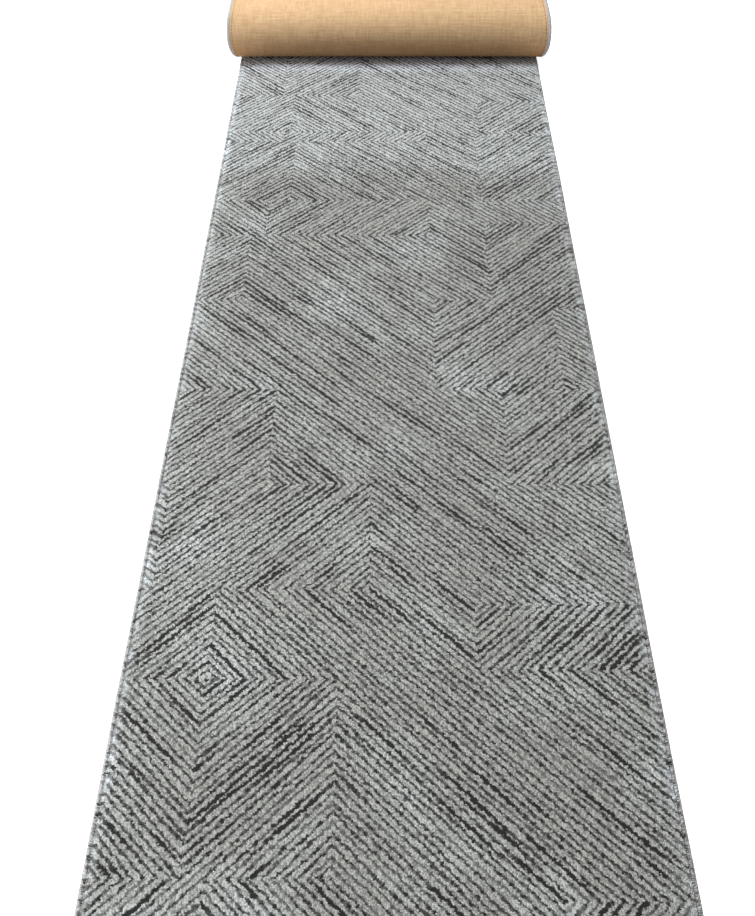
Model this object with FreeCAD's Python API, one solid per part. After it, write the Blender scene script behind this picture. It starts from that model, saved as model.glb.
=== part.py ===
import FreeCAD, Part
import math
import os

# A tufted runner rug with its far end rolled up, pile inwards, on top of the flat run.
# Millimetres. +X is across the rug, +Y along it from the near end to the roll, +Z up.
# The origin is on the floor under the middle of the rug's box.

# Whole rug
rug_width = 800.0
flat_run = 2444.0          # from the near end to the line where the cloth starts to rise into the roll
half_turns = 10            # half turns of cloth in the roll
eye_radius = 13.0          # free radius left inside the innermost half turn

# Cloth, from the floor up
wrap_under = 1.2           # serging yarn that passes under the cloth and lifts it off the floor
secondary_thick = 0.8
adhesive_thick = 1.2
primary_thick = 0.8
pile_height = 8.0
turn_clearance = 0.5       # gap between one turn's pile and the next turn's underside

# Edge finish
serging_outside = 3.0      # yarn standing outside the cloth's cut edge
serging_bite = 6.0         # how far the yarn reaches in over the cloth
serging_over = 4.0         # yarn thickness above the backing cloths
serging_round = 1.1        # rounding of the yarn's outer corners
seam_inset = 12.0          # from the finished edge to the seam thread's middle
seam_thread = 0.7

# Depths are measured from the serging's underside towards the pile: up on the flat run,
# and towards the middle in the roll.
secondary_depth = wrap_under
adhesive_depth = secondary_depth + secondary_thick
primary_depth = adhesive_depth + adhesive_thick
pile_depth = primary_depth + primary_thick
face_depth = pile_depth + pile_height
neutral_depth = primary_depth + primary_thick / 2   # the cloth keeps its length at this depth

# The roll is half circles about two centres. Each half turn is tighter than the last by half
# the pitch of the turns, and the front centre is that much above the back one.
radius_step = (face_depth + turn_clearance) / 2
outer_radius = eye_radius + face_depth + radius_step * (half_turns - 1)
near_y = -(flat_run + outer_radius) / 2
roll_y = near_y + flat_run


def half_turn_radius(turn):
    """Radius of the outside of one half turn."""
    return outer_radius - radius_step * turn


def half_turn_centre(turn):
    """Back half turns share one centre and front half turns share another."""
    return FreeCAD.Vector(0, roll_y, outer_radius + radius_step * (turn % 2))


# Lengths along the cloth at which each half turn starts and the last one ends.
turn_starts = [flat_run]
for turn in range(half_turns):
    turn_starts.append(turn_starts[-1] + math.pi * (half_turn_radius(turn) - neutral_depth))
rug_length = turn_starts[-1]
cloth_start = serging_outside
cloth_end = rug_length - serging_outside
cloth_half_width = rug_width / 2 - serging_outside
bound_half_width = cloth_half_width - serging_bite    # the serging covers the cloth beyond this
seam_x = rug_width / 2 - seam_inset


def cloth_point(length, depth):
    """The point at a length along the cloth and a depth into it, on the plane X = 0."""
    if length <= flat_run:
        return FreeCAD.Vector(0, near_y + length, depth)
    turn = 0
    while turn < half_turns - 1 and length > turn_starts[turn + 1]:
        turn += 1
    share = (length - turn_starts[turn]) / (turn_starts[turn + 1] - turn_starts[turn])
    angle = math.pi * (turn + share - 0.5)
    reach = half_turn_radius(turn) - depth
    return half_turn_centre(turn) + FreeCAD.Vector(0, reach * math.cos(angle), reach * math.sin(angle))


def cloth_edges(start, end, depth):
    """Lines and arcs that follow the cloth at one depth, between two lengths."""
    stops = [start] + [stop for stop in turn_starts if start < stop < end] + [end]
    edges = []
    for first, last in zip(stops, stops[1:]):
        low, high = cloth_point(first, depth), cloth_point(last, depth)
        if last <= flat_run:
            edges.append(Part.LineSegment(low, high).toShape())
        else:
            middle = cloth_point((first + last) / 2, depth)
            edges.append(Part.Arc(low, middle, high).toShape())
    return edges


def cloth_strip(start, end, low_depth, high_depth, left_x, right_x):
    """A solid band of cloth: a stretch of its length, between two depths, from one X to another."""
    outline = cloth_edges(start, end, low_depth) + cloth_edges(start, end, high_depth)
    for length in (start, end):
        side = Part.LineSegment(cloth_point(length, low_depth), cloth_point(length, high_depth))
        outline.append(side.toShape())
    face = Part.Face(Part.Wire(Part.__sortEdges__(outline)))
    face.translate(FreeCAD.Vector(left_x, 0, 0))
    return face.extrude(FreeCAD.Vector(right_x - left_x, 0, 0))


def full_layer(low_depth, thickness):
    """A backing layer, out to the cut edge of the cloth on all four sides."""
    return cloth_strip(cloth_start, cloth_end, low_depth, low_depth + thickness,
                       -cloth_half_width, cloth_half_width)


def pile_face():
    """The pile stands inside the serging on all four sides."""
    return cloth_strip(cloth_start + serging_bite, cloth_end - serging_bite, pile_depth, face_depth,
                       -bound_half_width, bound_half_width)


def long_edge_serging(side):
    """Yarn wrapped round a long edge, closed over the cloth's corners at both ends."""
    inner, outer = sorted((side * bound_half_width, side * rug_width / 2))
    yarn = cloth_strip(0, rug_length, 0, pile_depth + serging_over, inner, outer)
    outer_x = side * rug_width / 2
    corners = [edge for edge in yarn.Edges if is_long_corner(edge, outer_x)]
    yarn = yarn.makeFillet(serging_round, corners)
    inner, outer = sorted((side * bound_half_width, side * cloth_half_width))
    return yarn.cut(cloth_strip(cloth_start, cloth_end, secondary_depth, pile_depth, inner, outer))


def is_long_corner(edge, outer_x):
    """True for the edges of the serging's outer face that follow the cloth."""
    on_outer_face = all(abs(vertex.X - outer_x) < 1e-6 for vertex in edge.Vertexes)
    through_yarn = pile_depth + serging_over
    return on_outer_face and edge.Length > through_yarn + 1e-6


def end_serging(finished_end, cut_edge, inward_end):
    """Yarn wrapped round one end, between the two long edges' serging."""
    start, end = sorted((finished_end, inward_end))
    yarn = cloth_strip(start, end, 0, pile_depth + serging_over, -bound_half_width, bound_half_width)
    start, end = sorted((cut_edge, inward_end))
    return yarn.cut(cloth_strip(start, end, secondary_depth, pile_depth,
                                -bound_half_width, bound_half_width))


def seam_band(start, end, left_x, right_x):
    """Seam thread lying on the back of the cloth."""
    return cloth_strip(start, end, secondary_depth - seam_thread, secondary_depth, left_x, right_x)


def long_seam(side):
    """The seam thread beside a long edge."""
    middle = side * seam_x
    return seam_band(seam_inset - seam_thread / 2, rug_length - seam_inset + seam_thread / 2,
                     middle - seam_thread / 2, middle + seam_thread / 2)


def end_seam(length):
    """The seam thread across the rug near one end, between the two long seams."""
    reach = seam_x - seam_thread / 2
    return seam_band(length - seam_thread / 2, length + seam_thread / 2, -reach, reach)


nodes = {
    "pile_face": pile_face(),
    "primary_backing": full_layer(primary_depth, primary_thick),
    "adhesive_coat": full_layer(adhesive_depth, adhesive_thick),
    "secondary_backing": full_layer(secondary_depth, secondary_thick),
    "left_edge_serging": long_edge_serging(-1),
    "right_edge_serging": long_edge_serging(1),
    "near_end_serging": end_serging(0, cloth_start, cloth_start + serging_bite),
    "rolled_end_serging": end_serging(rug_length, cloth_end, cloth_end - serging_bite),
    "left_seam_thread": long_seam(-1),
    "right_seam_thread": long_seam(1),
    "near_end_seam_thread": end_seam(seam_inset),
    "rolled_end_seam_thread": end_seam(rug_length - seam_inset),
}

os.makedirs("parts", exist_ok=True)
for name, shape in nodes.items():
    shape.exportStep("parts/" + name + ".step")
    box = shape.BoundBox
    print(name, len(shape.Solids), shape.isValid(), round(shape.Volume / 1000, 1), "cm3",
          [round(value, 2) for value in (box.XMin, box.YMin, box.ZMin, box.XMax, box.YMax, box.ZMax)])
print("finished size", rug_width, "x", round(rug_length, 1), "roll outside radius", outer_radius)
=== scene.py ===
import math
import random

import bmesh
import bpy
from mathutils import Matrix, Vector, noise


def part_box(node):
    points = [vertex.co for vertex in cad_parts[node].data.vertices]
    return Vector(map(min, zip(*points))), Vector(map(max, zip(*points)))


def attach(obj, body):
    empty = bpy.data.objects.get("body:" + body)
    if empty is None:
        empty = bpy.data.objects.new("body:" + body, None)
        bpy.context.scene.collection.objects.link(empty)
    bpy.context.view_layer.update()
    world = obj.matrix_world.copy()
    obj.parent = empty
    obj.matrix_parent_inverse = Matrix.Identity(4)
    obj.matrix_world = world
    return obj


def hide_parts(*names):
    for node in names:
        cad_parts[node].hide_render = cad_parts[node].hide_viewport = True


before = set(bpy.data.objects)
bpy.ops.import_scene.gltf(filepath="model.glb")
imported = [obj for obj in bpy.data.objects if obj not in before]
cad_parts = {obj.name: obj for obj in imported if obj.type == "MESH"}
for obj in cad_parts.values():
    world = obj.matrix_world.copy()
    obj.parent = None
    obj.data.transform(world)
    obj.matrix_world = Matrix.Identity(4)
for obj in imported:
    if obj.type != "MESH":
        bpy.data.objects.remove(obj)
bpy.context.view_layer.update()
print("frame loaded, nodes:", len(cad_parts))


cloth = {
    "halfTurns": 10,           # of cloth in the roll
    "pileHeight": 0.008,
    "turnClearance": 0.0005,   # between a turn's pile and the next turn's underside
    "turnSteps": 20,           # mesh rows in each half turn
    "sideDrift": 0.0016,       # how far the long edges wander
    "driftSeed": 0.3,
    "heave": 0.0007,           # low waves in the cloth
    "heaveSeed": (5, 1, 2),
    "heaveRest": 0.4,          # share of the heave that is there everywhere
    "waveLength": 0.42,
    "endSpread": 0.024,        # how far the roll's ends bulge out at their widest
    "spreadHeight": 0.095,     # height of the widest place
    "spreadRound": 2.4,        # a larger power gives the bulge a flatter face
    "spreadFade": 3,           # a larger power keeps it nearer to the roll's ends
    "sharpFrom": 0.9,          # radians between two faces that meet in a sharp edge
    "touching": 1e-6,
}

edgeLow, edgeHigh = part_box("right_edge_serging")
pileLow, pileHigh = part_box("pile_face")
backLow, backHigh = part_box("secondary_backing")
rugHalfWidth = edgeHigh.x
clothHalfWidth = backHigh.x
boundHalfWidth = pileHigh.x
backDepth = backLow.z
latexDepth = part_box("adhesive_coat")[0].z
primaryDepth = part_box("primary_backing")[0].z
pileDepth = pileLow.z
faceDepth = pileDepth + cloth["pileHeight"]
neutralDepth = (primaryDepth + pileDepth) / 2
outerRadius = edgeHigh.z / 2
radiusStep = (faceDepth + cloth["turnClearance"]) / 2
nearY = edgeLow.y
rollY = edgeHigh.y - outerRadius
flatRun = rollY - nearY
edgeOutside = rugHalfWidth - clothHalfWidth
edgeBite = clothHalfWidth - boundHalfWidth

turnStarts = [flatRun]
for turn in range(cloth["halfTurns"]):
    turnStarts.append(turnStarts[-1] + math.pi * (outerRadius - radiusStep * turn - neutralDepth))
rugLength = turnStarts[-1]


def settle(place):
    # the small unevenness that real cloth has, the same for every layer so none cross
    wave = place / cloth["waveLength"]
    drift = noise.noise(Vector((cloth["driftSeed"], wave.y, wave.z * 2))) * cloth["sideDrift"]
    rise = noise.noise(wave + Vector(cloth["heaveSeed"])) + cloth["heaveRest"]
    reach = min(1.0, place.z / faceDepth)
    return place + Vector((drift, 0, rise * cloth["heave"] * reach))


def rollSpread(x, height):
    # loose turns bulge at the roll's ends: widest half way up, nothing where they meet the flat run
    off = (height - cloth["spreadHeight"]) / (cloth["spreadHeight"] - neutralDepth)
    bulge = cloth["endSpread"] * max(0.0, 1 - abs(off) ** cloth["spreadRound"])
    share = x / rugHalfWidth
    return x + bulge * share * abs(share) ** cloth["spreadFade"]


def clothPlace(x, along, depth):
    if along <= flatRun:
        return settle(Vector((x, nearY + along, depth)))
    turn = 0
    while turn < cloth["halfTurns"] - 1 and along > turnStarts[turn + 1]:
        turn += 1
    share = (along - turnStarts[turn]) / (turnStarts[turn + 1] - turnStarts[turn])
    angle = math.pi * (turn + share - 0.5)
    reach = outerRadius - radiusStep * turn - depth
    middleZ = outerRadius + radiusStep * (turn % 2)
    x = rollSpread(x, middleZ + (reach + depth - neutralDepth) * math.sin(angle))
    return settle(Vector((x, rollY + reach * math.cos(angle), middleZ + reach * math.sin(angle))))


def clothStations(start, end, flatStep):
    # lengths along the cloth for the mesh rows: even on the flat, even in angle in the roll
    stations = [start]
    flatRows = max(1, round((min(end, flatRun) - start) / flatStep))
    if start < flatRun:
        stations += [start + (min(end, flatRun) - start) * (i + 1) / flatRows for i in range(flatRows)]
    for turn in range(cloth["halfTurns"]):
        low, high = turnStarts[turn], turnStarts[turn + 1]
        for i in range(cloth["turnSteps"]):
            place = low + (high - low) * (i + 1) / cloth["turnSteps"]
            if start < place < end - cloth["touching"]:
                stations.append(place)
    if end > flatRun:
        stations.append(end)
    return stations


def layFlatUv(bm, places):
    # the piece's own map: metres across and along the flat cloth
    uv = bm.loops.layers.uv.new("cloth")
    for face in bm.faces:
        for loop in face.loops:
            loop[uv].uv = places[loop.vert.index]


def finishPiece(bm, name, material):
    mesh = bpy.data.meshes.new(name)
    bm.to_mesh(mesh)
    bm.free()
    piece = bpy.data.objects.new(name, mesh)
    bpy.context.scene.collection.objects.link(piece)
    mesh.materials.append(material)
    return piece


def clothLayer(name, material, spec):
    # a layer of the rug: a flat grid given its thickness, then laid along the cloth's path
    stations = clothStations(spec["start"], spec["end"], spec["rowStep"])
    rows = len(stations) - 1
    bm = bmesh.new()
    bmesh.ops.create_grid(bm, x_segments=spec["columns"], y_segments=rows, size=0.5)
    bmesh.ops.solidify(bm, geom=bm.faces[:], thickness=0.1)
    middle = sum(v.co.z for v in bm.verts) / len(bm.verts)
    for v in bm.verts:
        row = min(rows, max(0, round((v.co.y + 0.5) * rows)))
        x = v.co.x * 2 * spec["halfWidth"]
        depth = spec["depth"] + (spec["thick"] if v.co.z > middle else 0)
        v.co = Vector((x, stations[row], depth))
    bmesh.ops.recalc_face_normals(bm, faces=bm.faces[:])
    if spec.get("plainBack"):
        # the hidden back of the pile needs no columns
        near = cloth["touching"]
        back = [e for e in bm.edges if all(abs(v.co.z - spec["depth"]) < near for v in e.verts)
                and abs(e.verts[0].co.x - e.verts[1].co.x) < near
                and abs(e.verts[0].co.x) < spec["halfWidth"] - near]
        bmesh.ops.dissolve_edges(bm, edges=back, use_verts=True)
    bm.verts.index_update()
    layFlatUv(bm, [(v.co.x, v.co.y) for v in bm.verts])
    shape = spec.get("shape")
    for v in bm.verts:
        x, along, depth = v.co
        if shape and depth > spec["depth"] + spec["thick"] / 2:
            depth += shape(x, along)
        v.co = clothPlace(x, along, depth)
    for face in bm.faces:
        face.smooth = True
    for edge in bm.edges:
        if len(edge.link_faces) == 2 and edge.calc_face_angle() > cloth["sharpFrom"]:
            edge.smooth = False
    return finishPiece(bm, name, material)


def rowOf(template, count, step):
    # a row of copies of one small shape, as one mesh
    holder = bpy.data.objects.new("rowHolder", template)
    bpy.context.scene.collection.objects.link(holder)
    row = holder.modifiers.new("row", "ARRAY")
    row.count = count
    row.use_relative_offset = False
    row.use_constant_offset = True
    row.constant_offset_displace = step
    ready = holder.evaluated_get(bpy.context.evaluated_depsgraph_get())
    mesh = bpy.data.meshes.new_from_object(ready)
    bpy.data.objects.remove(holder)
    return mesh


def nodeIn(tree, kind, **settings):
    made = tree.nodes.new(kind)
    for key, value in settings.items():
        setattr(made, key, value)
    return made


def feed(tree, socket, value):
    if isinstance(value, bpy.types.NodeSocket):
        tree.links.new(value, socket)
    elif value is not None:
        socket.default_value = value


def calc(tree, operation, *values, clamp=False):
    made = nodeIn(tree, "ShaderNodeMath", operation=operation, use_clamp=clamp)
    for socket, value in zip(made.inputs, values):
        feed(tree, socket, value)
    return made.outputs[0]


def vecCalc(tree, operation, *values):
    made = nodeIn(tree, "ShaderNodeVectorMath", operation=operation)
    for socket, value in zip(made.inputs, values):
        feed(tree, socket, value)
    return made.outputs["Vector"]


def scaled(tree, vector, factor):
    made = nodeIn(tree, "ShaderNodeVectorMath", operation="SCALE")
    feed(tree, made.inputs[0], vector)
    feed(tree, made.inputs["Scale"], factor)
    return made.outputs["Vector"]


def splitXyz(tree, vector):
    made = nodeIn(tree, "ShaderNodeSeparateXYZ")
    feed(tree, made.inputs[0], vector)
    return made.outputs


def joinXyz(tree, *values):
    made = nodeIn(tree, "ShaderNodeCombineXYZ")
    for socket, value in zip(made.inputs, values):
        feed(tree, socket, value)
    return made.outputs[0]


def weigh(tree, first, second, share):
    # the mean of two values, with this share of the first
    return calc(tree, "ADD", calc(tree, "MULTIPLY", first, share),
                calc(tree, "MULTIPLY", second, 1 - share))


def centred(tree, value):
    return calc(tree, "SUBTRACT", value, 0.5)


def blendColour(tree, factor, first, second, blend="MIX"):
    made = nodeIn(tree, "ShaderNodeMix", data_type="RGBA", blend_type=blend)
    feed(tree, made.inputs[0], factor)
    feed(tree, made.inputs[6], first)
    feed(tree, made.inputs[7], second)
    return made.outputs[2]


def spread(tree, value, low, high, outLow=0.0, outHigh=1.0):
    made = nodeIn(tree, "ShaderNodeMapRange")
    for index, item in enumerate((value, low, high, outLow, outHigh)):
        feed(tree, made.inputs[index], item)
    return made.outputs[0]


def noiseAt(tree, vector, scale, detail=2.0, roughness=0.5):
    made = nodeIn(tree, "ShaderNodeTexNoise")
    feed(tree, made.inputs["Vector"], vector)
    made.inputs["Scale"].default_value = scale
    made.inputs["Detail"].default_value = detail
    made.inputs["Roughness"].default_value = roughness
    return made.outputs["Fac"]


def newGroup(name, inputs, outputs):
    group = bpy.data.node_groups.new(name, "ShaderNodeTree")
    for label, kind, value in inputs:
        socket = group.interface.new_socket(name=label, in_out="INPUT", socket_type=kind)
        if value is not None:
            socket.default_value = value
    for label, kind in outputs:
        group.interface.new_socket(name=label, in_out="OUTPUT", socket_type=kind)
    entry = nodeIn(group, "NodeGroupInput")
    leave = nodeIn(group, "NodeGroupOutput")
    return group, entry.outputs, leave.inputs


def placeGroup(tree, group, **values):
    made = nodeIn(tree, "ShaderNodeGroup", node_tree=group)
    for label, value in values.items():
        feed(tree, made.inputs[label], value)
    return made.outputs


def linear(red, green, blue):
    # a colour picked on a 0 to 255 scale, for the shader
    def one(value):
        value /= 255
        return value / 12.92 if value <= 0.04045 else ((value + 0.055) / 1.055) ** 2.4
    return (one(red), one(green), one(blue), 1.0)


plainWhite = (1.0, 1.0, 1.0, 1.0)
clothShine = {"ior": 1.45, "specular": 0.2}


def clothMaterial(name):
    material = bpy.data.materials.new(name)
    material.use_nodes = True
    tree = material.node_tree
    shader = tree.nodes["Principled BSDF"]
    shader.inputs["IOR"].default_value = clothShine["ior"]
    shader.inputs["Specular IOR Level"].default_value = clothShine["specular"]
    uv = nodeIn(tree, "ShaderNodeUVMap", uv_map="cloth").outputs["UV"]
    return material, tree, shader, uv


def addBump(tree, shader, height, bumpSet):
    strength, distance = bumpSet
    bump = nodeIn(tree, "ShaderNodeBump")
    bump.inputs["Strength"].default_value = strength
    bump.inputs["Distance"].default_value = distance
    feed(tree, bump.inputs["Height"], height)
    feed(tree, shader.inputs["Normal"], bump.outputs["Normal"])


grain = {"detail": 3.0, "rough": 0.65, "coarse": 0.31, "fineShare": 0.65, "shade": (0.3, 0.7)}
clouds = {"wide": 4.5, "near": 22.0, "wideShare": 0.6, "swing": 4.0}


def makeFibreGroup():
    # fine lint and fibre grain, used on every yarn
    group, given, out = newGroup(
        "fibreGrain",
        [("Vector", "NodeSocketVector", None), ("Size", "NodeSocketFloat", 0.001)],
        [("Shade", "NodeSocketFloat"), ("Height", "NodeSocketFloat")])
    place = scaled(group, given["Vector"], calc(group, "DIVIDE", 1.0, given["Size"]))
    fine = noiseAt(group, place, 1.0, grain["detail"], grain["rough"])
    coarse = noiseAt(group, place, grain["coarse"], 1.0)
    both = weigh(group, fine, coarse, grain["fineShare"])
    feed(group, out["Shade"], spread(group, both, *grain["shade"]))
    feed(group, out["Height"], both)
    return group


def makeCloudGroup():
    # slow cloudy change of tone, from handling and the way the pile lies
    group, given, out = newGroup(
        "cloudyTone",
        [("Vector", "NodeSocketVector", None), ("Amount", "NodeSocketFloat", 0.1)],
        [("Tone", "NodeSocketFloat")])
    wide = noiseAt(group, given["Vector"], clouds["wide"], 2.0)
    near = noiseAt(group, given["Vector"], clouds["near"], 2.0)
    both = weigh(group, wide, near, clouds["wideShare"])
    swing = calc(group, "MULTIPLY", centred(group, both), given["Amount"])
    feed(group, out["Tone"], calc(group, "MULTIPLY_ADD", swing, clouds["swing"], 1.0))
    return group


weaving = {
    "swayScale": 70.0,         # how often the threads bend
    "sway": 0.0008,            # how far they bend
    "threadStep": 5.7,         # keeps the tones of neighbouring threads unlike
    "threadDrift": 26.0,       # changes of tone along a metre of thread
    "threadTone": (0.29, 0.71),
    "threadSeeds": (3.0, 71.0),
    "underneath": 0.4,         # height of a thread where it passes under
    "gap": (0.42, 0.12),       # heights where a gap starts and is full
}


def makeWeaveGroup():
    # plain weave of warp and weft yarns, with slubs and open gaps
    group, given, out = newGroup(
        "plainWeave",
        [("Vector", "NodeSocketVector", None), ("Warp", "NodeSocketFloat", 0.002),
         ("Weft", "NodeSocketFloat", 0.002)],
        [("Height", "NodeSocketFloat"), ("Thread", "NodeSocketFloat"), ("Gap", "NodeSocketFloat")])
    sway = nodeIn(group, "ShaderNodeTexNoise")
    feed(group, sway.inputs["Vector"], given["Vector"])
    sway.inputs["Scale"].default_value = weaving["swayScale"]
    bend = (weaving["sway"], weaving["sway"], 0)
    parts = splitXyz(group, vecCalc(group, "MULTIPLY_ADD", sway.outputs["Color"], bend, given["Vector"]))
    warpAt = calc(group, "DIVIDE", parts["X"], given["Warp"])
    weftAt = calc(group, "DIVIDE", parts["Y"], given["Weft"])

    def ridge(value):
        middle = centred(group, calc(group, "FRACT", value))
        return calc(group, "SUBTRACT", 1.0, calc(group, "MULTIPLY", calc(group, "ABSOLUTE", middle), 2.0))

    def threadShade(value, alongThread, seed):
        # every thread has its own tone, which drifts along it
        at = joinXyz(group, calc(group, "MULTIPLY", calc(group, "FLOOR", value), weaving["threadStep"]),
                     calc(group, "MULTIPLY", alongThread, weaving["threadDrift"]), seed)
        return spread(group, noiseAt(group, at, 1.0, 2.0), *weaving["threadTone"])

    cells = calc(group, "ADD", calc(group, "FLOOR", warpAt), calc(group, "FLOOR", weftAt))
    over = calc(group, "MODULO", calc(group, "ABSOLUTE", cells), 2.0)
    under = weaving["underneath"]
    warpHigh = calc(group, "MULTIPLY", ridge(warpAt), calc(group, "MULTIPLY_ADD", over, 1 - under, under))
    weftHigh = calc(group, "MULTIPLY", ridge(weftAt), calc(group, "MULTIPLY_ADD", over, under - 1, 1.0))
    height = calc(group, "MAXIMUM", warpHigh, weftHigh)
    warpSeed, weftSeed = weaving["threadSeeds"]
    thread = weigh(group, threadShade(warpAt, parts["Y"], warpSeed),
                   threadShade(weftAt, parts["X"], weftSeed), 0.5)
    feed(group, out["Height"], height)
    feed(group, out["Thread"], thread)
    feed(group, out["Gap"], spread(group, height, *weaving["gap"]))
    return group


def makeBlockGroup():
    # adds one block of the pattern to a mask of the places where the lines slant the other way
    group, given, out = newGroup(
        "blockTurn",
        [("Mask", "NodeSocketFloat", 0.0), ("Vector", "NodeSocketVector", None),
         ("Middle", "NodeSocketVector", None), ("Half", "NodeSocketVector", None)],
        [("Mask", "NodeSocketFloat")])
    away = vecCalc(group, "ABSOLUTE", vecCalc(group, "SUBTRACT", given["Vector"], given["Middle"]))
    over = splitXyz(group, vecCalc(group, "SUBTRACT", away, given["Half"]))
    inside = calc(group, "LESS_THAN", calc(group, "MAXIMUM", over["X"], over["Y"]), 0.0)
    feed(group, out["Mask"], calc(group, "MAXIMUM", given["Mask"], inside))
    return group


fibreGrain = makeFibreGroup()
cloudyTone = makeCloudGroup()
plainWeave = makeWeaveGroup()
blockTurn = makeBlockGroup()


pattern = {
    "lineStep": 0.0150,        # across the rug, from one slanted line to the next
    # blocks where the lines slant the other way, counted in whole lines so that lines meet
    "seed": 8,
    "repeat": 136,             # the pattern starts again after this many lines
    "rowLong": (9, 21),
    "middleWide": (13, 27),
    "sideWide": (7, 19),
    "sideShift": (-3, 3),      # how far the right block of a row is out of step with the left
    # the lines themselves, in line steps
    "wobble": 0.72,
    "wobbleScale": 110.0,
    "drift": 0.85,             # slower wandering, along the line
    "driftNoise": (7.3, 7.0),  # steps through the noise from line to line, and in a metre of line
    "halfWidth": 0.13,
    "boldWider": 0.10,
    "beadWider": 0.11,
    "ragged": (0.60, 0.8),     # least width of a tuft's share in the line, and its random part
    "edgeSlope": 9.0,
    # how dark a line is: it comes and goes along its length, partly together with its neighbours
    "groupShare": 0.14,
    "groupNoise": (0.16, 3.0),
    "groupSeed": 2.0,
    "ownShare": 0.92,
    "ownNoise": (3.7, 3.4),
    "turnedSeed": 5.3,         # lines that slant the other way get noise of their own
    "bold": (0.55, 0.63),
    "faint": (0.46, 0.35),
    "faintLoss": 0.36,
    "beadNoise": (11.0, 105.0),
    "beadTone": (0.36, 0.56, 0.62, 1.0),
}


def patternBlocks():
    # by turns one block near the middle and one at each side, so the lines make broken chevrons
    draw = random.Random(pattern["seed"])
    reach = math.ceil(boundHalfWidth / pattern["lineStep"]) + 1
    blocks = []
    near = 0
    inMiddle = False
    while near < pattern["repeat"]:
        far = near + draw.randint(*pattern["rowLong"])
        if inMiddle:
            wide = draw.randint(*pattern["middleWide"])
            left = draw.randint(-reach // 2, reach // 2) - wide // 2
            blocks.append((left, left + wide, near, far))
        else:
            blocks.append((-reach, draw.randint(*pattern["sideWide"]) - reach, near, far))
            blocks.append((reach - draw.randint(*pattern["sideWide"]), reach,
                           near + draw.randint(*pattern["sideShift"]),
                           far + draw.randint(*pattern["sideShift"])))
        near = far
        inMiddle = not inMiddle
    return blocks


def patternMask(tree, place):
    parts = splitXyz(tree, place)
    repeatLong = pattern["repeat"] * pattern["lineStep"]
    within = joinXyz(tree, parts["X"], calc(tree, "MODULO", parts["Y"], repeatLong))
    mask = 0.0
    for block in patternBlocks():
        left, right, near, far = (value * pattern["lineStep"] for value in block)
        mask = placeGroup(tree, blockTurn, Mask=mask, Vector=within,
                          Middle=((left + right) / 2, (near + far) / 2, 0),
                          Half=((right - left) / 2, (far - near) / 2, 0))["Mask"]
    return mask


def noiseOnLine(tree, lineNumber, along, steps, seed, detail=1.0):
    # noise that runs along a line and differs from one line to the next
    perLine, perMetre = steps
    at = joinXyz(tree, calc(tree, "MULTIPLY", lineNumber, perLine),
                 calc(tree, "MULTIPLY", along, perMetre), seed)
    return noiseAt(tree, at, 1.0, detail)


def patternLines(tree, place, chance):
    # how dark the pattern's line is at a place, from 0 in the field to 1
    mask = patternMask(tree, place)
    seed = calc(tree, "MULTIPLY", mask, pattern["turnedSeed"])
    parts = splitXyz(tree, place)
    turned = calc(tree, "MULTIPLY_ADD", mask, -2.0, 1.0)
    slanted = calc(tree, "MULTIPLY", parts["Y"], turned)
    across = calc(tree, "ADD", parts["X"], slanted)
    along = calc(tree, "SUBTRACT", parts["X"], slanted)

    wobble = centred(tree, noiseAt(tree, place, pattern["wobbleScale"], 1.0))
    count = calc(tree, "MULTIPLY_ADD", wobble, pattern["wobble"],
                 calc(tree, "DIVIDE", across, pattern["lineStep"]))
    number = calc(tree, "ROUND", count)
    drift = centred(tree, noiseOnLine(tree, number, along, pattern["driftNoise"], seed))
    offLine = calc(tree, "SUBTRACT", calc(tree, "SUBTRACT", count, number),
                   calc(tree, "MULTIPLY", drift, pattern["drift"]))
    offLine = calc(tree, "ABSOLUTE", offLine)

    own = noiseOnLine(tree, number, along, pattern["ownNoise"], seed, detail=2.0)
    groups = noiseOnLine(tree, count, along, pattern["groupNoise"], pattern["groupSeed"])
    boldness = calc(tree, "MULTIPLY_ADD", groups, pattern["groupShare"],
                    calc(tree, "MULTIPLY", own, pattern["ownShare"]))
    bold = spread(tree, boldness, *pattern["bold"])
    faint = spread(tree, boldness, *pattern["faint"])
    beads = noiseOnLine(tree, number, along, pattern["beadNoise"], seed)
    beadDark = calc(tree, "MULTIPLY", spread(tree, beads, *pattern["beadTone"]),
                    calc(tree, "MULTIPLY_ADD", faint, -pattern["faintLoss"], 1.0))

    halfWidth = calc(tree, "MULTIPLY_ADD", bold, pattern["boldWider"], pattern["halfWidth"])
    halfWidth = calc(tree, "MULTIPLY_ADD", beads, pattern["beadWider"], halfWidth)
    least, more = pattern["ragged"]
    ragged = calc(tree, "MULTIPLY", halfWidth, calc(tree, "MULTIPLY_ADD", chance, more, least))
    inLine = calc(tree, "MULTIPLY_ADD", calc(tree, "SUBTRACT", ragged, offLine),
                  pattern["edgeSlope"], 0.5, clamp=True)
    return calc(tree, "MULTIPLY", inLine, calc(tree, "MAXIMUM", bold, beadDark))


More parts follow.
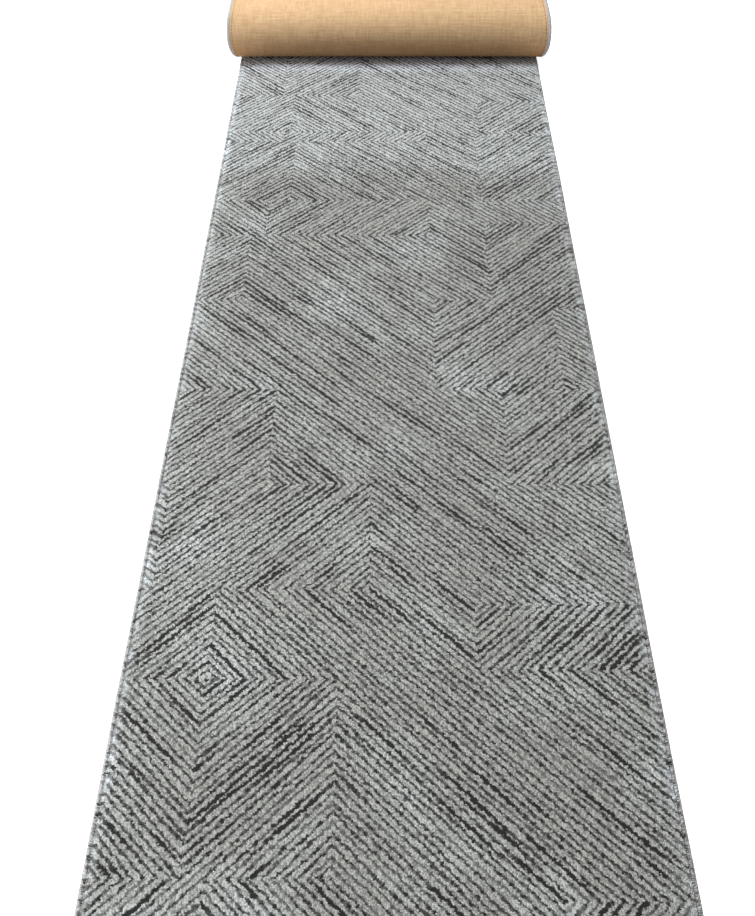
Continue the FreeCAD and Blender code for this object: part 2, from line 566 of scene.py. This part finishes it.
pile = {
    "columns": 130,
    "rowStep": 0.006,
    "lump": 0.0005,            # height of the low lumps in the pile
    "lumpScale": 38,
    "edgeDrop": 0.0022,        # how far the outermost tufts lean down
    "tuft": 0.0025,            # tuft spacing
    "tuftScatter": 0.8,        # 0 sets the tufts on a grid, 1 at random
    "tuftStray": 0.3,          # how far the colour strays within a tuft
    "tuftShare": 0.6,          # share of the field's tone that a tuft sets, and fibres the rest
    "fibre": 0.0012,
    "field": (linear(81, 83, 81), linear(198, 201, 197)),
    # painted light: the pale colour of the edge highlight and of the pile before the roll
    "pale": linear(224, 230, 236),
    "line": linear(24, 25, 24),
    "gap": (0.4, 0.8, 1.0, 0.55),         # between tufts the tone falls to the last number
    "cloudiness": 0.10,
    "highlight": (1.42, 1.47, 1.55, 1.0),   # painted highlight: pile that lies over is coloured lighter and cooler
    "highlightShare": {"rollHighlight": 0.92, "rim": 0.8, "patches": 0.7},
    "highlightReach": 0.58,          # how far from the roll the painted highlight reaches, on pile brushed back
    "highlightBlur": 0.05,
    "highlightWave": 0.22,
    "highlightWaveScale": 6.0,
    "rimReach": 0.09,          # how far in from the long edges the painted highlight reaches
    "rimLeast": 0.25,
    "patches": (0.48, 0.70),
    "patchScale": 5.0,
    "lip": (0.014, 0.003),     # where the painted pale edge highlight starts and is full, in from the long edges
    "lipPatches": (0.36, 0.68),
    "lipScale": 55.0,
    "lipShare": 0.42,
    "lipOverLines": 0.55,
    "lightBeforeRoll": (0.11, 0.07),   # where the pile painted lighter against the roll's shadow starts and is full, before the roll
    "lightBeforeRollShare": 0.72,
    "roughness": (0.82, 0.97),
    "sheen": 0.12,
    "sheenRoughness": 0.6,
    "dome": (0.15, 0.75, 1.0, 0.0),       # a tuft's rounded top
    "fibreHeight": 0.9,
    "lineSink": 0.5,
    "bump": (0.7, 0.0018),
}


def paintedHighlight(tree, uv, along, fromMiddle):
    # how strongly the painted highlight lightens the pile: before the roll, by the long edges and in
    # patches
    wave = centred(tree, noiseAt(tree, uv, pile["highlightWaveScale"], 1.0))
    highlightAt = calc(tree, "MULTIPLY_ADD", wave, pile["highlightWave"], along)
    highlightStart = flatRun - pile["highlightReach"]
    rollHighlight = spread(tree, highlightAt, highlightStart - pile["highlightBlur"], highlightStart + pile["highlightBlur"])
    patches = spread(tree, noiseAt(tree, uv, pile["patchScale"]), *pile["patches"])
    rim = spread(tree, fromMiddle, boundHalfWidth - pile["rimReach"], boundHalfWidth)
    rim = calc(tree, "MULTIPLY", rim, calc(tree, "ADD", patches, pile["rimLeast"]))
    most = 0.0
    for name, value in (("rollHighlight", rollHighlight), ("rim", rim), ("patches", patches)):
        most = calc(tree, "MAXIMUM", most, calc(tree, "MULTIPLY", value, pile["highlightShare"][name]))
    return most


def makePileMaterial():
    material, tree, shader, uv = clothMaterial("pileYarn")
    tufts = nodeIn(tree, "ShaderNodeTexVoronoi", voronoi_dimensions="2D", feature="F1")
    feed(tree, tufts.inputs["Vector"], uv)
    tufts.inputs["Scale"].default_value = 1 / pile["tuft"]
    tufts.inputs["Randomness"].default_value = pile["tuftScatter"]
    chance = nodeIn(tree, "ShaderNodeSeparateColor")
    feed(tree, chance.inputs[0], tufts.outputs["Color"])
    # a tuft takes one colour for the most part, and its fibres stray a little
    tuftAt = nodeIn(tree, "ShaderNodeMix", data_type="VECTOR")
    tuftAt.inputs[0].default_value = pile["tuftStray"]
    feed(tree, tuftAt.inputs[4], tufts.outputs["Position"])
    feed(tree, tuftAt.inputs[5], uv)
    lines = patternLines(tree, tuftAt.outputs[1], chance.outputs["Red"])

    fibres = placeGroup(tree, fibreGrain, Vector=uv, Size=pile["fibre"])
    tone = placeGroup(tree, cloudyTone, Vector=uv, Amount=pile["cloudiness"])["Tone"]
    fieldMix = weigh(tree, chance.outputs["Green"], fibres["Shade"], pile["tuftShare"])
    field = blendColour(tree, fieldMix, *pile["field"])

    # painted highlight: pale pile along the long edges; and painted light: pale pile before the roll,
    # against its shadow
    parts = splitXyz(tree, uv)
    fromMiddle = calc(tree, "ABSOLUTE", parts["X"])
    lip = spread(tree, fromMiddle, *(boundHalfWidth - inset for inset in pile["lip"]))
    lipPatches = spread(tree, noiseAt(tree, uv, pile["lipScale"]), *pile["lipPatches"])
    edgeHighlight = calc(tree, "MULTIPLY", lip, lipPatches)
    lightBeforeRoll = spread(tree, parts["Y"], *(flatRun - before for before in pile["lightBeforeRoll"]))
    pale = calc(tree, "MAXIMUM", calc(tree, "MULTIPLY", edgeHighlight, pile["lipShare"]),
                calc(tree, "MULTIPLY", lightBeforeRoll, pile["lightBeforeRollShare"]))
    field = blendColour(tree, pale, field, pile["pale"])
    lines = calc(tree, "MULTIPLY", lines, calc(tree, "MULTIPLY_ADD", edgeHighlight, -pile["lipOverLines"], 1.0))
    colour = blendColour(tree, lines, field, pile["line"])
    # painted highlight, multiplied into the pile's colour
    highlight = paintedHighlight(tree, uv, parts["Y"], fromMiddle)
    tint = blendColour(tree, highlight, plainWhite, pile["highlight"])
    colour = blendColour(tree, 1.0, colour, tint, "MULTIPLY")
    shade = calc(tree, "MULTIPLY", spread(tree, tufts.outputs["Distance"], *pile["gap"]), tone)
    feed(tree, shader.inputs["Base Color"], scaled(tree, colour, shade))
    feed(tree, shader.inputs["Roughness"], spread(tree, fibres["Shade"], 0.0, 1.0, *pile["roughness"]))
    shader.inputs["Sheen Weight"].default_value = pile["sheen"]
    shader.inputs["Sheen Roughness"].default_value = pile["sheenRoughness"]

    dome = spread(tree, tufts.outputs["Distance"], *pile["dome"])
    height = calc(tree, "ADD", dome, calc(tree, "MULTIPLY", fibres["Height"], pile["fibreHeight"]))
    height = calc(tree, "SUBTRACT", height, calc(tree, "MULTIPLY", lines, pile["lineSink"]))
    addBump(tree, shader, height, pile["bump"])
    return material


def pileLumps(x, along):
    place = Vector((x * pile["lumpScale"], along * pile["lumpScale"], 0.5))
    edge = max(abs(x) - (boundHalfWidth - pile["rowStep"] * 0.9), 0) / pile["rowStep"]
    return noise.noise(place) * pile["lump"] - pile["edgeDrop"] * min(1, edge)


pileMaterial = makePileMaterial()
pilePiece = clothLayer("pile", pileMaterial, {
    "start": edgeOutside + edgeBite, "end": rugLength - edgeOutside - edgeBite,
    "halfWidth": boundHalfWidth, "depth": pileDepth, "thick": cloth["pileHeight"],
    "columns": pile["columns"], "rowStep": pile["rowStep"], "plainBack": True, "shape": pileLumps})
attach(pilePiece, "root")
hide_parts("pile_face")
print("pile laid:", len(pilePiece.data.polygons), "faces")


backing = {
    "columns": 20,
    "rowStep": 0.012,
    "warp": 0.0028,
    "weft": 0.0034,
    "fibre": 0.0014,
    "threadShare": 0.65,       # share of the tone that a thread sets, and fibres the rest
    "yarn": (linear(179, 142, 100), linear(225, 195, 156)),
    "gap": linear(112, 80, 48),
    "gapShare": 0.6,
    "cloudiness": 0.05,
    "rollShade": (0.72, 0.59, 0.46, 1.0),   # painted shade: cloth that bends under the roll is coloured darker
    "rollShadeReach": (0.125, 0.065),       # where that starts and is full, back from the roll's lowest line
    "roughness": (0.95, 0.8),
    "sheen": 0.08,
    "fibreHeight": 0.5,
    "bump": (0.6, 0.0007),
}

primary = {
    "warp": 0.0012,
    "weft": 0.0016,
    "yarn": (linear(196, 190, 176), linear(224, 220, 208)),
    "gap": linear(120, 112, 98),
    "roughness": (0.8, 0.5),
    "bump": (0.5, 0.0004),
}

latex = {
    "grain": 0.004,
    "colour": (linear(205, 196, 170), linear(226, 219, 198)),
    "roughness": (0.6, 0.8),
    "bump": (0.4, 0.001),
}


def makeBackingMaterial():
    material, tree, shader, uv = clothMaterial("backingCloth")
    weave = placeGroup(tree, plainWeave, Vector=uv, Warp=backing["warp"], Weft=backing["weft"])
    fibres = placeGroup(tree, fibreGrain, Vector=uv, Size=backing["fibre"])
    tone = placeGroup(tree, cloudyTone, Vector=uv, Amount=backing["cloudiness"])["Tone"]
    mixed = weigh(tree, weave["Thread"], fibres["Shade"], backing["threadShare"])
    yarn = blendColour(tree, mixed, *backing["yarn"])
    gap = calc(tree, "MULTIPLY", weave["Gap"], backing["gapShare"])
    colour = blendColour(tree, gap, yarn, backing["gap"])
    # painted shade: the cloth is coloured darker and warmer towards the roll's lowest line
    underRoll = (turnStarts[2] - reach for reach in backing["rollShadeReach"])
    rollShade = spread(tree, splitXyz(tree, uv)["Y"], *underRoll)
    rollShadeTint = blendColour(tree, rollShade, plainWhite, backing["rollShade"])
    colour = blendColour(tree, 1.0, colour, rollShadeTint, "MULTIPLY")
    feed(tree, shader.inputs["Base Color"], scaled(tree, colour, tone))
    feed(tree, shader.inputs["Roughness"], spread(tree, weave["Height"], 0.0, 1.0, *backing["roughness"]))
    shader.inputs["Sheen Weight"].default_value = backing["sheen"]
    lint = calc(tree, "MULTIPLY", fibres["Height"], backing["fibreHeight"])
    addBump(tree, shader, calc(tree, "ADD", weave["Height"], lint), backing["bump"])
    return material


def makePrimaryMaterial():
    material, tree, shader, uv = clothMaterial("primaryCloth")
    weave = placeGroup(tree, plainWeave, Vector=uv, Warp=primary["warp"], Weft=primary["weft"])
    colour = blendColour(tree, weave["Thread"], *primary["yarn"])
    colour = blendColour(tree, weave["Gap"], colour, primary["gap"])
    feed(tree, shader.inputs["Base Color"], colour)
    feed(tree, shader.inputs["Roughness"], spread(tree, weave["Height"], 0.0, 1.0, *primary["roughness"]))
    addBump(tree, shader, weave["Height"], primary["bump"])
    return material


def makeGrainMaterial(name, grainSize, colours, roughness, bumpSet):
    # a material with nothing but grain: the latex, and the thin seam thread
    material, tree, shader, uv = clothMaterial(name)
    fibres = placeGroup(tree, fibreGrain, Vector=uv, Size=grainSize)
    feed(tree, shader.inputs["Base Color"], blendColour(tree, fibres["Shade"], *colours))
    feed(tree, shader.inputs["Roughness"], spread(tree, fibres["Shade"], 0.0, 1.0, *roughness))
    addBump(tree, shader, fibres["Height"], bumpSet)
    return material


def backingLayer(name, node, material, depth, thick):
    piece = clothLayer(name, material, {
        "start": edgeOutside, "end": rugLength - edgeOutside, "halfWidth": clothHalfWidth,
        "depth": depth, "thick": thick, "columns": backing["columns"], "rowStep": backing["rowStep"]})
    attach(piece, "root")
    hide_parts(node)
    return piece


backCloth = backingLayer("backCloth", "secondary_backing", makeBackingMaterial(),
                         backDepth, latexDepth - backDepth)
latexMaterial = makeGrainMaterial("latexCoat", latex["grain"], latex["colour"],
                                  latex["roughness"], latex["bump"])
latexCoat = backingLayer("latexCoat", "adhesive_coat", latexMaterial,
                         latexDepth, primaryDepth - latexDepth)
primaryCloth = backingLayer("primaryCloth", "primary_backing", makePrimaryMaterial(),
                            primaryDepth, pileDepth - primaryDepth)
print("backing layers laid")


serging = {
    "pitch": 0.0030,           # from one wrap of yarn to the next
    "yarnWide": 0.0036,
    "yarnThick": 0.0013,
    "yarnRound": 1.3,          # a four-sided yarn is drawn this much over its size
    "ringSteps": 10,
    "yarnSides": 4,
    "height": 0.0080,
    "slant": 0.10,
    "shift": (-0.12, 0.12),    # how unevenly the wraps are spaced, in pitches
    "swell": (0.95, 1.04),     # how uneven their size is
    "endClear": 0.0002,
    "yarn": (linear(146, 145, 146), linear(198, 196, 196)),
    "twists": (620.0, 480.0),  # turns of the yarn's twist in a metre, across and along
    "twistShade": 0.16,
    "twistHeight": 0.3,
    "fibre": 0.0012,
    "cloudiness": 0.2,
    "roughness": (0.7, 0.9),
    "sheen": 0.15,
    "bump": (0.5, 0.0005),
}


def makeSergingMaterial():
    material, tree, shader, uv = clothMaterial("sergingYarn")
    parts = splitXyz(tree, uv)
    twistAcross, twistAlong = serging["twists"]
    turns = calc(tree, "ADD", calc(tree, "MULTIPLY", parts["X"], twistAcross),
                 calc(tree, "MULTIPLY", parts["Y"], twistAlong))
    twist = calc(tree, "SINE", calc(tree, "MULTIPLY", turns, 2 * math.pi))
    coords = nodeIn(tree, "ShaderNodeTexCoord").outputs["Object"]
    fibres = placeGroup(tree, fibreGrain, Vector=coords, Size=serging["fibre"])
    tone = placeGroup(tree, cloudyTone, Vector=coords, Amount=serging["cloudiness"])["Tone"]
    mixed = calc(tree, "MULTIPLY_ADD", twist, serging["twistShade"], fibres["Shade"], clamp=True)
    colour = blendColour(tree, mixed, *serging["yarn"])
    feed(tree, shader.inputs["Base Color"], scaled(tree, colour, tone))
    feed(tree, shader.inputs["Roughness"], spread(tree, fibres["Shade"], 0.0, 1.0, *serging["roughness"]))
    shader.inputs["Sheen Weight"].default_value = serging["sheen"]
    height = calc(tree, "MULTIPLY_ADD", twist, serging["twistHeight"], fibres["Height"])
    addBump(tree, shader, height, serging["bump"])
    return material


def wrapTemplate(reach):
    # one wrap of yarn: a flattened ring round the edge, standing in the X Z plane
    bm = bmesh.new()
    bmesh.ops.create_circle(bm, segments=serging["yarnSides"], radius=0.5)
    bmesh.ops.rotate(bm, verts=bm.verts[:], cent=(0, 0, 0),
                     matrix=Matrix.Rotation(math.pi / 4, 3, "Z"))
    thick, wide = (serging[size] * serging["yarnRound"] for size in ("yarnThick", "yarnWide"))
    bmesh.ops.scale(bm, verts=bm.verts[:], vec=(thick, wide, 1))
    ring = serging["height"] / 2 - serging["yarnThick"] / 2
    bmesh.ops.translate(bm, verts=bm.verts[:], vec=(ring, 0, 0))
    bmesh.ops.spin(bm, geom=bm.verts[:] + bm.edges[:], cent=(0, 0, 0), axis=(0, 1, 0),
                   angle=2 * math.pi, steps=serging["ringSteps"], use_merge=True)
    bmesh.ops.remove_doubles(bm, verts=bm.verts[:], dist=cloth["touching"])
    bmesh.ops.recalc_face_normals(bm, faces=bm.faces[:])
    bmesh.ops.scale(bm, verts=bm.verts[:], vec=(reach / serging["height"], 1, 1))
    for face in bm.faces:
        face.smooth = True
    mesh = bpy.data.meshes.new("wrap")
    bm.to_mesh(mesh)
    bm.free()
    return mesh


def sergingPiece(name, node, run, seed):
    # run: start and end of the row of wraps, and how a row place and a ring place lie on the cloth
    draw = random.Random(seed)
    width = edgeOutside + edgeBite
    template = wrapTemplate(width)
    each = len(template.vertices)
    count = int((run["end"] - run["start"]) / serging["pitch"])
    step = (run["end"] - run["start"]) / count
    mesh = rowOf(template, count, (0, step, 0))
    bm = bmesh.new()
    bm.from_mesh(mesh)
    bpy.data.meshes.remove(mesh)
    bm.verts.index_update()
    uneven = [(draw.uniform(*serging["shift"]), draw.uniform(*serging["swell"])) for i in range(count)]
    low, high = run["start"] + serging["endClear"], run["end"] - serging["endClear"]
    flatPlaces = []
    for v in bm.verts:
        shift, swell = uneven[v.index // each]
        along = run["start"] + v.co.y + step * (0.5 + shift) + v.co.x * serging["slant"]
        along = min(max(along, low), high)
        ringX, ringZ = v.co.x * swell, v.co.z * swell
        x, length, depth = run["lay"](along, ringX, ringZ + serging["height"] / 2)
        flatPlaces.append((x, length))
        v.co = Vector((x, length, depth))
    layFlatUv(bm, flatPlaces)
    for v in bm.verts:
        v.co = clothPlace(*v.co)
    piece = finishPiece(bm, name, sergingMaterial)
    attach(piece, "root")
    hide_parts(node)
    return piece


sergingMaterial = makeSergingMaterial()
halfWrap = (edgeOutside + edgeBite) / 2
ringMiddle = rugHalfWidth - halfWrap
leftSerging = sergingPiece("leftSerging", "left_edge_serging", {
    "start": 0.0, "end": rugLength,
    "lay": lambda along, ringX, depth: (-ringMiddle + ringX, along, depth)}, 11)
rightSerging = sergingPiece("rightSerging", "right_edge_serging", {
    "start": 0.0, "end": rugLength,
    "lay": lambda along, ringX, depth: (ringMiddle + ringX, along, depth)}, 12)
nearSerging = sergingPiece("nearEndSerging", "near_end_serging", {
    "start": -boundHalfWidth, "end": boundHalfWidth,
    "lay": lambda along, ringX, depth: (along, halfWrap + ringX, depth)}, 13)
rolledSerging = sergingPiece("rolledEndSerging", "rolled_end_serging", {
    "start": -boundHalfWidth, "end": boundHalfWidth,
    "lay": lambda along, ringX, depth: (along, rugLength - halfWrap + ringX, depth)}, 14)
print("serging wrapped:", len(leftSerging.data.polygons), "faces a side")


seam = {
    "inset": 0.012,
    "pitch": 0.009,
    "stitch": 0.0068,          # visible length of one stitch
    "thread": 0.0010,
    "proud": 0.25,             # how far the stitch's middle is off the cloth, in thread widths
    "fibre": 0.0007,
    "colour": (linear(72, 46, 26), linear(126, 88, 54)),
    "roughness": (0.5, 0.75),
    "bump": (0.5, 0.0003),
}


def seamPiece(name, node, run):
    bm = bmesh.new()
    bmesh.ops.create_uvsphere(bm, u_segments=6, v_segments=7, radius=0.5)
    bmesh.ops.rotate(bm, verts=bm.verts[:], cent=(0, 0, 0),
                     matrix=Matrix.Rotation(math.pi / 2, 3, "X"))
    bmesh.ops.scale(bm, verts=bm.verts[:], vec=(seam["thread"], seam["stitch"], seam["thread"]))
    for face in bm.faces:
        face.smooth = True
    template = bpy.data.meshes.new("stitch")
    bm.to_mesh(template)
    bm.free()
    count = int((run["end"] - run["start"]) / seam["pitch"])
    step = (run["end"] - run["start"]) / count
    mesh = rowOf(template, count, (0, step, 0))
    bm = bmesh.new()
    bm.from_mesh(mesh)
    bpy.data.meshes.remove(mesh)
    bm.verts.index_update()
    flatPlaces = []
    for v in bm.verts:
        x, length = run["lay"](run["start"] + v.co.y + step / 2, v.co.x)
        flatPlaces.append((x, length))
        v.co = Vector((x, length, backDepth - seam["thread"] * seam["proud"] + v.co.z))
    layFlatUv(bm, flatPlaces)
    for v in bm.verts:
        v.co = clothPlace(*v.co)
    piece = finishPiece(bm, name, seamMaterial)
    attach(piece, "root")
    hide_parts(node)
    return piece


seamMaterial = makeGrainMaterial("seamThread", seam["fibre"], seam["colour"],
                                 seam["roughness"], seam["bump"])
seamX = rugHalfWidth - seam["inset"]
leftSeam = seamPiece("leftSeam", "left_seam_thread", {
    "start": seam["inset"], "end": rugLength - seam["inset"],
    "lay": lambda along, off: (-seamX + off, along)})
rightSeam = seamPiece("rightSeam", "right_seam_thread", {
    "start": seam["inset"], "end": rugLength - seam["inset"],
    "lay": lambda along, off: (seamX + off, along)})
nearSeam = seamPiece("nearEndSeam", "near_end_seam_thread", {
    "start": -seamX, "end": seamX, "lay": lambda along, off: (along, seam["inset"] + off)})
rolledSeam = seamPiece("rolledEndSeam", "rolled_end_seam_thread", {
    "start": -seamX, "end": seamX, "lay": lambda along, off: (along, rugLength - seam["inset"] + off)})
print("seams stitched")


edgeTufts = {
    "pitch": 0.0025,
    "rows": (0.0004, 0.0030, 0.0056),     # in from the pile's edge
    "radius": 0.0014,
    "tip": 0.0010,
    "sides": 5,
    "lean": 0.0058,
    "leanReach": 0.006,        # in from the edge the lean falls off over this distance
    "leastLean": 0.15,
    "leanSpread": (0.65, 1.1),
    "sway": (-0.0012, 0.0012),
    "tall": (0.80, 1.02),
    "edgeShorter": 0.2,        # the outermost tufts are this much shorter
    "shortReach": 0.004,
    "offset": (-0.0009, 0.0009),
}


def tuftRow(bm, flatPlaces, run, inset, draw):
    shape = bmesh.new()
    bmesh.ops.create_cone(shape, cap_ends=True, segments=edgeTufts["sides"],
                          radius1=edgeTufts["radius"], radius2=edgeTufts["tip"],
                          depth=cloth["pileHeight"])
    bmesh.ops.translate(shape, verts=shape.verts[:], vec=(0, 0, cloth["pileHeight"] / 2))
    for face in shape.faces:
        face.smooth = True
    template = bpy.data.meshes.new("tuft")
    shape.to_mesh(template)
    shape.free()
    each = len(template.vertices)
    count = int((run["end"] - run["start"]) / edgeTufts["pitch"])
    step = (run["end"] - run["start"]) / count
    mesh = rowOf(template, count, (0, step, 0))
    first = len(bm.verts)
    bm.from_mesh(mesh)
    bpy.data.meshes.remove(mesh)
    bm.verts.ensure_lookup_table()
    outward = edgeTufts["lean"] * max(edgeTufts["leastLean"], 1 - inset / edgeTufts["leanReach"])
    shorter = edgeTufts["edgeShorter"] * max(0, 1 - inset / edgeTufts["shortReach"])
    for index in range(count):
        lean = outward * draw.uniform(*edgeTufts["leanSpread"])
        sway = draw.uniform(*edgeTufts["sway"])
        tall = draw.uniform(*edgeTufts["tall"]) - shorter
        offset = draw.uniform(*edgeTufts["offset"])
        middle = run["start"] + step * (index + 0.5)
        for v in bm.verts[first + index * each:first + (index + 1) * each]:
            rise = v.co.z / cloth["pileHeight"]
            along = run["start"] + v.co.y + step / 2 + offset + sway * rise
            along = min(max(along, run["start"]), run["end"])
            off = v.co.x - inset + lean * rise * rise
            x, length = run["lay"](along, off)
            v.co = Vector((x, length, pileDepth + v.co.z * tall))
            flatPlaces.append(run["lay"](middle, -inset))   # a tuft is one colour throughout


def tuftPiece(name, runs, seed):
    draw = random.Random(seed)
    bm = bmesh.new()
    flatPlaces = []
    for run in runs:
        for inset in edgeTufts["rows"]:
            tuftRow(bm, flatPlaces, run, inset, draw)
    bm.verts.index_update()
    layFlatUv(bm, flatPlaces)
    for v in bm.verts:
        v.co = clothPlace(*v.co)
    piece = finishPiece(bm, name, pileMaterial)
    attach(piece, "root")
    return piece


tuftStart, tuftEnd = edgeOutside + edgeBite, rugLength - edgeOutside - edgeBite
leftTufts = tuftPiece("leftEdgeTufts", [{
    "start": tuftStart, "end": tuftEnd,
    "lay": lambda along, off: (-boundHalfWidth - off, along)}], 21)
rightTufts = tuftPiece("rightEdgeTufts", [{
    "start": tuftStart, "end": tuftEnd,
    "lay": lambda along, off: (boundHalfWidth + off, along)}], 22)
nearTufts = tuftPiece("nearEndTufts", [{
    "start": -boundHalfWidth, "end": boundHalfWidth,
    "lay": lambda along, off: (along, tuftStart - off)}], 23)
print("edge tufts set:", len(leftTufts.data.polygons), "faces a side")


studio = {
    "floorSize": 30.0,
    "floor": (linear(243, 243, 243), linear(250, 250, 250)),
    "floorTone": 1.5,
    "floorGlow": 0.85,         # so the floor stays pale out to the near end
    "keySize": 4.0,
    "keyPower": 395.0,
    "keyPlace": (-2.2, rollY + 0.10, 4.4),
    "sky": 0.75,               # straight up, and it falls to nothing at the horizon
    "skyFall": 2.0,
    "skyLow": (1.0, 0.74, 0.50, 1.0),
    "sideSize": 1.4,
    "sidePower": 20.0,
    "sidePlace": (-2.0, -0.9, 1.3),
    "sideAim": (0, nearY + 0.4, 0),
}


def addPanel(name, size, power, place, target):
    lamp = bpy.data.lights.new(name, "AREA")
    lamp.shape = "DISK"
    lamp.size = size
    lamp.energy = power
    holder = bpy.data.objects.new(name, lamp)
    holder.location = place
    holder.rotation_euler = (Vector(target) - Vector(place)).to_track_quat("-Z", "Y").to_euler()
    bpy.context.scene.collection.objects.link(holder)


def makeFloor():
    bm = bmesh.new()
    bmesh.ops.create_grid(bm, x_segments=1, y_segments=1, size=studio["floorSize"] / 2)
    material = bpy.data.materials.new("floor")
    material.use_nodes = True
    tree = material.node_tree
    shader = tree.nodes["Principled BSDF"]
    soft = noiseAt(tree, nodeIn(tree, "ShaderNodeTexCoord").outputs["Object"], studio["floorTone"])
    feed(tree, shader.inputs["Base Color"], blendColour(tree, soft, *studio["floor"]))
    shader.inputs["Roughness"].default_value = 0.9
    shader.inputs["Specular IOR Level"].default_value = 0.0
    glow = nodeIn(tree, "ShaderNodeEmission")
    path = nodeIn(tree, "ShaderNodeLightPath")
    feed(tree, glow.inputs["Strength"],
         calc(tree, "MULTIPLY", path.outputs["Is Camera Ray"], studio["floorGlow"]))
    both = nodeIn(tree, "ShaderNodeAddShader")
    feed(tree, both.inputs[0], shader.outputs[0])
    feed(tree, both.inputs[1], glow.outputs[0])
    feed(tree, tree.nodes["Material Output"].inputs["Surface"], both.outputs[0])
    finishPiece(bm, "floor", material)


def makeSky():
    # a white sky that is brightest overhead, and plain white where the camera looks past the floor
    world = bpy.data.worlds.new("studio")
    bpy.context.scene.world = world
    world.use_nodes = True
    tree = world.node_tree
    tree.nodes.clear()
    toward = nodeIn(tree, "ShaderNodeTexCoord").outputs["Generated"]
    up = calc(tree, "MAXIMUM", splitXyz(tree, toward)["Z"], 0.0)
    strength = calc(tree, "MULTIPLY", calc(tree, "POWER", up, studio["skyFall"]), studio["sky"])
    fill = nodeIn(tree, "ShaderNodeBackground")
    feed(tree, fill.inputs["Strength"], strength)
    feed(tree, fill.inputs["Color"], blendColour(tree, up, studio["skyLow"], plainWhite))
    seen = nodeIn(tree, "ShaderNodeBackground")
    seen.inputs["Color"].default_value = plainWhite
    mix = nodeIn(tree, "ShaderNodeMixShader")
    feed(tree, mix.inputs[0], nodeIn(tree, "ShaderNodeLightPath").outputs["Is Camera Ray"])
    feed(tree, mix.inputs[1], fill.outputs[0])
    feed(tree, mix.inputs[2], seen.outputs[0])
    feed(tree, nodeIn(tree, "ShaderNodeOutputWorld").inputs["Surface"], mix.outputs[0])


def makeStudio():
    makeFloor()
    makeSky()
    straightBelow = (*studio["keyPlace"][:2], 0)
    addPanel("key", studio["keySize"], studio["keyPower"], studio["keyPlace"], straightBelow)
    addPanel("side", studio["sideSize"], studio["sidePower"], studio["sidePlace"], studio["sideAim"])
    bpy.context.scene.view_settings.view_transform = "Standard"


cameraSet = {
    "behindRoll": 2.857,       # metres from the roll's middle, towards the near end
    "height": 1.42,
    "down": 46.3,              # degrees below level
    "lens": 43.43,
    "sensor": 36,
    "sideShift": -0.0123,
    "clip": (0.05, 100),
}


def makeCamera():
    camera = bpy.data.cameras.new("camera")
    camera.lens = cameraSet["lens"]
    camera.sensor_width = cameraSet["sensor"]
    camera.shift_x = cameraSet["sideShift"]
    camera.clip_start, camera.clip_end = cameraSet["clip"]
    holder = bpy.data.objects.new("camera", camera)
    holder.location = (0, rollY - cameraSet["behindRoll"], cameraSet["height"])
    holder.rotation_euler = (math.radians(90 - cameraSet["down"]), 0, 0)
    bpy.context.scene.collection.objects.link(holder)
    bpy.context.scene.camera = holder


makeStudio()
makeCamera()
print("studio set")
